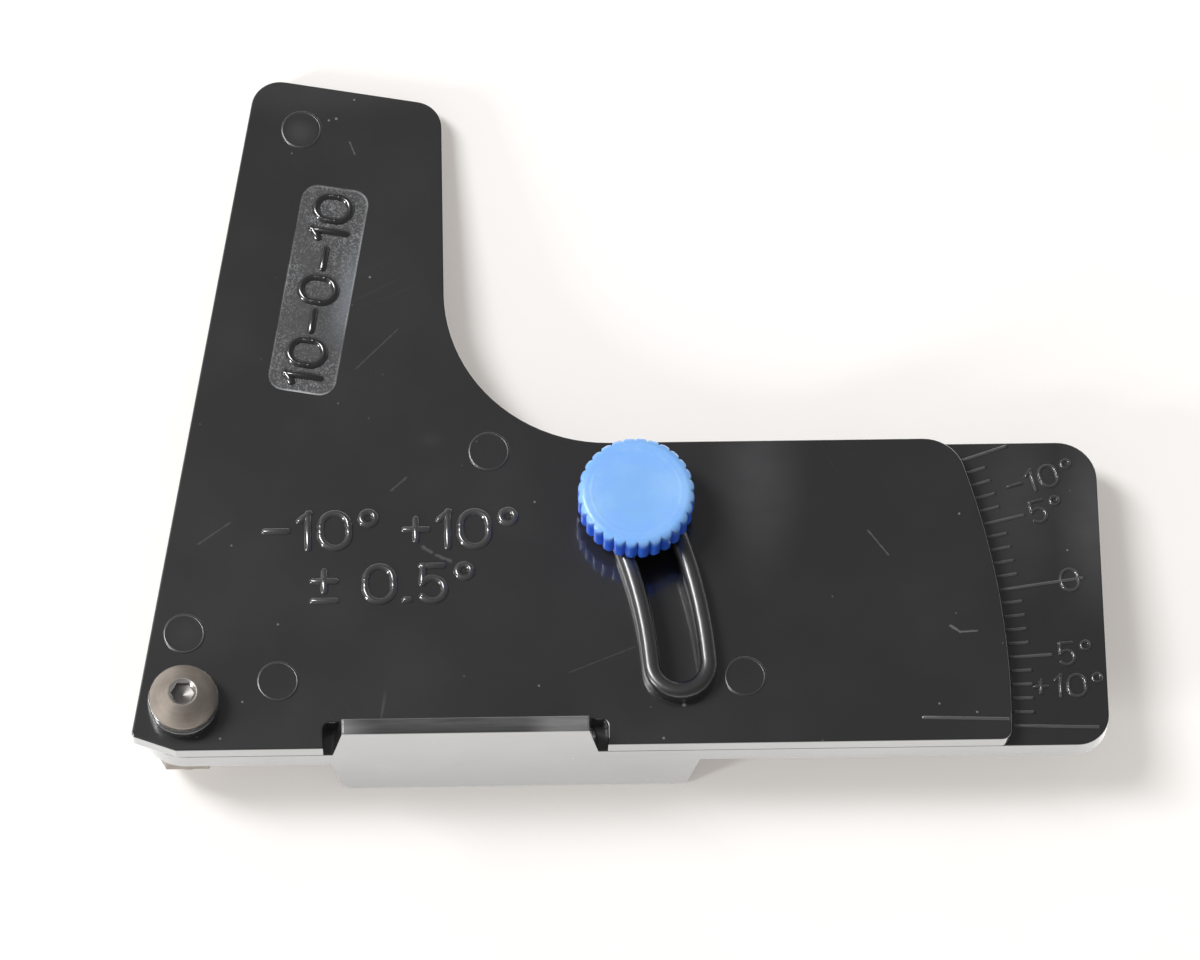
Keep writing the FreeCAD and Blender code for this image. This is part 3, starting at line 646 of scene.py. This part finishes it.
def addArcBead(mesh, centre, arcRadius, startDegrees, endDegrees, radius):
    first = centre + polar(arcRadius, startDegrees)
    ring = bmesh.ops.create_circle(mesh, segments=beadSize["sides"], radius=radius, cap_ends=False)["verts"]
    stand = Matrix.Rotation(math.radians(startDegrees), 4, "Z") @ Matrix.Rotation(math.radians(90), 4, "X")
    bmesh.ops.transform(mesh, matrix=Matrix.Translation(first) @ stand, verts=ring)
    edges = list({edge for vertex in ring for edge in vertex.link_edges})
    sweep = math.radians(endDegrees - startDegrees)
    full = abs(endDegrees - startDegrees) >= 360
    steps = max(beadSize["leastSteps"], round(arcRadius * abs(sweep) / beadSize["stepLength"]))
    bmesh.ops.spin(mesh, geom=ring + edges, cent=centre, axis=(0, 0, 1), angle=sweep, steps=steps,
                   use_merge=full)
    if not full:
        for degrees in (startDegrees, endDegrees):
            addBall(mesh, radius, Matrix.Translation(centre + polar(arcRadius, degrees)))


# Strokes in a cell one unit high, after the width that each figure takes: a line is (x, y, x, y), an arc
# (centre x, centre y, radius, start, end).
strokes = {
    "0": (0.76, [(0, 0.38, 0, 0.62), (0.76, 0.38, 0.76, 0.62), (0.38, 0.38, 0.38, 180, 360),
                 (0.38, 0.62, 0.38, 0, 180)]),
    "1": (0.3, [(0.26, 0, 0.26, 1), (0.3, 1, 0.02, 0.78)]),
    "5": (0.68, [(0.05, 1, 0.62, 1), (0.1, 1, 0.07, 0.5), (0.34, 0.33, 0.33, -145, 145)]),
    "o": (0.4, [(0.22, 0.84, 0.19, 0, 360)]),
    "+": (0.6, [(0, 0.5, 0.6, 0.5), (0.3, 0.2, 0.3, 0.8)]),
    "-": (0.6, [(0, 0.5, 0.6, 0.5)]),
    "~": (0.6, [(0, 0.6, 0.6, 0.6), (0.3, 0.32, 0.3, 0.88), (0, 0.04, 0.6, 0.04)]),
    ".": (0.1, [(0, 0.04, 0.12, 0.04)]),
    " ": (0.2, []),
}
figureGap = 0.3


def addFigures(mesh, text, centre, degrees, height, radius):
    length = sum(strokes[c][0] for c in text) + figureGap * (len(text) - 1)
    right, upward = polar(1, degrees), polar(1, degrees + 90)
    pen = centre - right * (length * height / 2) - upward * (height / 2)
    for character in text:
        advance, lines = strokes[character]
        for line in lines:
            first = pen + right * (line[0] * height) + upward * (line[1] * height)
            if len(line) == 4:
                addBead(mesh, first, pen + right * (line[2] * height) + upward * (line[3] * height), radius)
            else:
                addArcBead(mesh, first, line[2] * height, line[3] + degrees, line[4] + degrees, radius)
        pen = pen + right * ((advance + figureGap) * height)


armFace = {"height": 2.45, "letters": 4.4, "radius": 97.1, "indexLength": 10.4, "indexDegrees": -1.85,
           "indexInset": 0.2}
armRows = (("-10o +10o", (24.3, 21.6)), ("~ 0.5o", (24.5, 14.8)))


def makeArmFigures():
    mesh = bmesh.new()
    face = armFace["height"] - beadSize["armSink"]
    for text, row in armRows:
        addFigures(mesh, text, Vector((*row, face)), 0, armFace["letters"], beadSize["armRadius"])
    layPiece("arm_figures", mesh, figurePlastic, "arm")


panelFigures = {"text": "10-0-10", "height": 4.2, "radius": 0.52, "sink": 0.28}


def makePanelFigures():
    # Plain numbers, standing dark and glossy on the frosted panel.
    mesh = bmesh.new()
    centre = Vector((*labelPanel["centre"], armFace["height"] - panelFigures["sink"]))
    addFigures(mesh, panelFigures["text"], centre, labelPanel["degrees"], panelFigures["height"],
               panelFigures["radius"])
    layPiece("panel_figures", mesh, numberPlastic, "arm")


scaleFace = {"inner": 97.4, "zeroDegrees": 8.15, "ticks": 10, "short": 2.6, "middle": 5.2, "long": 10.3,
             "figures": 2.7, "topEdge": 32.6}
# Each label's text, its turn from the zero mark in degrees and its distance beyond the arm's end.
scaleLabels = [("0", 0, 8.9), ("5o", 5, 8.1), ("5o", -5, 8.1), ("-10o", 7.2, 8.6), ("+10o", -7.2, 7.0)]


def makeScaleTicks():
    mesh = bmesh.new()
    radius = beadSize["scaleWidth"] / 2
    for tick in range(-scaleFace["ticks"], scaleFace["ticks"] + 1):
        degrees = scaleFace["zeroDegrees"] - tick
        kind = "long" if tick % 10 == 0 else "middle" if tick % 5 == 0 else "short"
        outer = scaleFace["inner"] + scaleFace[kind]
        if degrees > 0:
            outer = min(outer, (scaleFace["topEdge"] - 2 * radius) / math.sin(math.radians(degrees)))
        addBead(mesh, polar(scaleFace["inner"] + radius, degrees), polar(outer - radius, degrees), radius)
    layPiece("scale_ticks", mesh, tickPlastic, "base")


def makeScaleFigures():
    mesh = bmesh.new()
    for text, turn, offset in scaleLabels:
        degrees = scaleFace["zeroDegrees"] + turn
        centre = polar(armFace["radius"] + offset, degrees)
        addFigures(mesh, text, centre, degrees, scaleFace["figures"], beadSize["scaleWidth"] / 2)
    layPiece("scale_figures", mesh, figurePlastic, "base")


def makeIndexLine():
    mesh = bmesh.new()
    radius = beadSize["scaleWidth"] / 2
    height, degrees = armFace["height"], armFace["indexDegrees"]
    addBead(mesh, polar(armFace["radius"] - armFace["indexLength"], degrees, height),
            polar(armFace["radius"] - armFace["indexInset"] - radius, degrees, height), radius)
    layPiece("index_line", mesh, tickPlastic, "arm")


pinRings = {"radius": 2.28, "bead": 0.3, "rise": -0.2,
            "places": [(14.1, 73.6), (0.0, 8.9), (36.2, 31.4), (11.0, 2.8), (65.9, 2.6)]}


def makePinRings():
    # The burr that each ejector pin leaves round its mark.
    mesh = bmesh.new()
    for place in pinRings["places"]:
        centre = Vector((*place, armFace["height"] + pinRings["rise"]))
        addArcBead(mesh, centre, pinRings["radius"], 0, 360, pinRings["bead"])
    layPiece("pin_rings", mesh, burrPlastic, "arm")


socketCone = {"radius": 1.38, "bottom": 5.9, "tip": 5.97, "slope": 0.33, "sides": 48}


def makeSocketCone():
    # The cone that a drill leaves at the bottom of the pivot screw's socket: a disc whose upper face is
    # drawn down at its centre.
    mesh = bmesh.new()
    radius, bottom = socketCone["radius"], socketCone["bottom"]
    rim = socketCone["tip"] + socketCone["slope"] * radius
    middle = Matrix.Translation((0, 0, (rim + bottom) / 2))
    bmesh.ops.create_cone(mesh, cap_ends=True, cap_tris=True, segments=socketCone["sides"], radius1=radius,
                          radius2=radius, depth=rim - bottom, matrix=middle)
    centre = min(mesh.verts, key=lambda vertex: (vertex.co - Vector((0, 0, rim))).length)
    centre.co.z = socketCone["tip"]
    layPiece("socket_cone", mesh, pivotSteel, "base", smooth=False)


makeArmFigures()
makePanelFigures()
makeScaleTicks()
makeScaleFigures()
makeIndexLine()
makePinRings()
makeSocketCone()
print("raised figures, marks and the socket's cone laid")

# Studio: floor, sky, soft lamps and camera

floorLook = {"half": 3.0, "colour": (0.80, 0.80, 0.80, 1), "seen": (0.25, 0.225, 0.205, 1),
             "mirrored": (1.03, 1.015, 0.985, 1), "fibre": (40.0, 3.0), "fibreRange": (0.3, 0.7, 0.97, 1.0),
             "roughness": 0.2}


def makeFloor():
    mesh = bmesh.new()
    bmesh.ops.create_grid(mesh, x_segments=1, y_segments=1, size=floorLook["half"])
    data = bpy.data.meshes.new("studio_floor")
    mesh.to_mesh(data)
    mesh.free()
    floor = bpy.data.objects.new("studio_floor", data)
    bpy.context.scene.collection.objects.link(floor)
    material, tree, shader = startMaterial("floorPaper")
    tree.nodes.remove(shader)
    path = addNode(tree, "ShaderNodeLightPath").outputs
    spot = addNode(tree, "ShaderNodeTexCoord").outputs["Object"]
    fibre = remap(tree, noise(tree, spot, *floorLook["fibre"]), *floorLook["fibreRange"])
    paper = addNode(tree, "ShaderNodeMix", {0: 1.0, 6: floorLook["colour"], 7: fibre}, data_type="RGBA",
                    blend_type="MULTIPLY").outputs[2]
    matt = addNode(tree, "ShaderNodeBsdfDiffuse", {"Color": paper, "Roughness": floorLook["roughness"]})
    seen = addNode(tree, "ShaderNodeEmission", {"Color": floorLook["seen"],
                                                "Strength": path["Is Camera Ray"]})
    bright = combine(tree, "MAXIMUM", path["Is Glossy Ray"], path["Is Transmission Ray"])
    mirrored = addNode(tree, "ShaderNodeEmission", {"Color": floorLook["mirrored"], "Strength": bright})
    glow = addNode(tree, "ShaderNodeAddShader", {0: seen.outputs[0], 1: mirrored.outputs[0]})
    lit = addNode(tree, "ShaderNodeAddShader", {0: matt.outputs[0], 1: glow.outputs[0]})
    # From below the floor is clear, so that the gauge's back can be seen.
    below = addNode(tree, "ShaderNodeNewGeometry").outputs["Backfacing"]
    clear = addNode(tree, "ShaderNodeBsdfTransparent")
    both = addNode(tree, "ShaderNodeMixShader", {0: below, 1: lit.outputs[0], 2: clear.outputs[0]})
    tree.links.new(both.outputs[0], tree.nodes["Material Output"].inputs["Surface"])
    data.materials.append(material)


skyLook = {"soft": (0.40, 0.395, 0.385, 1), "horizon": (0.26, 0.26, 0.264, 1),
           "overhead": (0.14, 0.14, 0.144, 1), "seen": (1, 1, 1, 1), "climb": (0.12, 0.7)}


def makeSky():
    # White to the camera; polished faces see a pale horizon and a dim ceiling.
    world = bpy.data.worlds.new("studio_sky")
    bpy.context.scene.world = world
    world.use_nodes = True
    tree = world.node_tree
    path = addNode(tree, "ShaderNodeLightPath").outputs
    climb = axes(tree, addNode(tree, "ShaderNodeTexCoord").outputs["Generated"])[2]
    mirrored = blend(tree, remap(tree, climb, *skyLook["climb"], smooth=True), skyLook["horizon"],
                     skyLook["overhead"])
    colour = blend(tree, path["Is Glossy Ray"], skyLook["soft"], mirrored)
    colour = blend(tree, path["Is Camera Ray"], colour, skyLook["seen"])
    tree.links.new(colour, tree.nodes["Background"].inputs["Color"])


lamps = {
    "key_softbox": {"azimuth": 153, "elevation": 53, "distance": 2.0, "size": (0.45, 0.90),
                    "radiance": 22.0},
    "low_softbox": {"azimuth": 202, "elevation": 20, "distance": 2.0, "size": (0.24, 0.42),
                    "radiance": 52.0},
}


def makeLamp(name, settings):
    # The azimuth is counted from +X towards +Y, and the lamp faces the gauge.
    data = bpy.data.lights.new(name, "AREA")
    data.shape = "RECTANGLE"
    data.size, data.size_y = settings["size"]
    data.energy = settings["radiance"] * math.pi * data.size * data.size_y
    lamp = bpy.data.objects.new(name, data)
    climb = math.radians(settings["elevation"])
    away = polar(math.cos(climb), settings["azimuth"], math.sin(climb))
    lamp.location = away * settings["distance"]
    lamp.rotation_euler = away.to_track_quat("Z", "Y").to_euler()
    bpy.context.scene.collection.objects.link(lamp)


cameraStand = {"place": (30.11, -249.47, 723.56), "aim": (49.39, 28.52, 0.0), "roll": -1.303, "lens": 195.0,
               "sensor": 36.0, "near": 0.01, "far": 20.0}


def makeCamera():
    # place and aim are in the plates' frame; roll turns the picture about the line of sight.
    data = bpy.data.cameras.new("gauge_camera")
    data.lens = cameraStand["lens"]
    data.sensor_width = cameraStand["sensor"]
    data.clip_start = cameraStand["near"]
    data.clip_end = cameraStand["far"]
    camera = bpy.data.objects.new("gauge_camera", data)
    place = plateSpace @ Vector(cameraStand["place"])
    sight = (plateSpace @ Vector(cameraStand["aim"]) - place).normalized()
    plateAlong = plateTurn @ Vector((0, 1, 0))
    right = sight.cross(plateAlong).normalized()
    level = Matrix((right, right.cross(sight), -sight)).transposed()
    turned = level @ Matrix.Rotation(math.radians(cameraStand["roll"]), 3, "Z")
    camera.matrix_world = Matrix.Translation(place) @ turned.to_4x4()
    bpy.context.scene.collection.objects.link(camera)
    bpy.context.scene.camera = camera


makeFloor()
makeSky()
for lampName, lampSettings in lamps.items():
    makeLamp(lampName, lampSettings)
makeCamera()
bpy.context.scene.view_settings.view_transform = "Standard"
print("studio ready")
